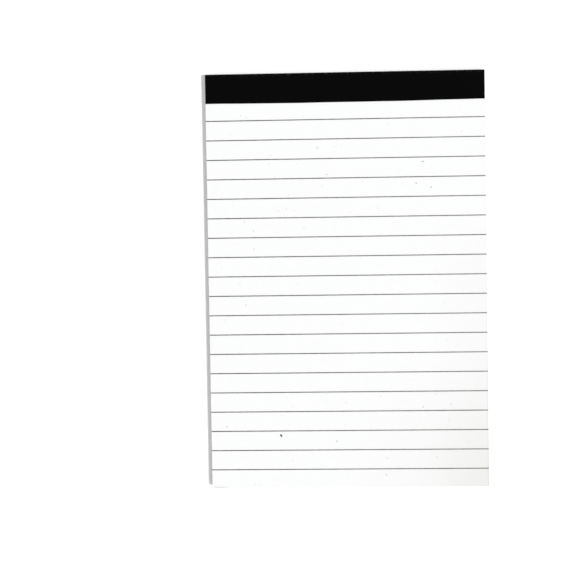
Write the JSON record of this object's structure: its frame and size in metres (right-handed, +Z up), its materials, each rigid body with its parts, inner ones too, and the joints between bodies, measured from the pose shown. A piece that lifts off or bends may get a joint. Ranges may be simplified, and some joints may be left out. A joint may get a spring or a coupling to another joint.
{
  "type": "legal pad",
  "caption": "Small ruled writing pad: a block of recycled paper sheets on a chipboard back, gummed along the head and bound there with a folded black tape.",
  "frame": {"origin": "under the middle of the pad as it lies on its back, level with the underside of the tape's back lap", "axes": "+X to the reader's right, +Y towards the taped head, +Z up out of the top sheet"},
  "size_m": [0.102, 0.1524, 0.0061],
  "materials": {
    "recycled_paper": "matte",
    "rule_ink": "matte",
    "black_tape": "matte",
    "chipboard": "matte",
    "padding_gum": "satin"
  },
  "bodies": {
    "root": {"writing_sheets": "recycled_paper", "printed_rules": "rule_ink", "binding_tape": "black_tape", "backing_board": "chipboard", "head_gum": "padding_gum"}
  },
  "joints": []
}
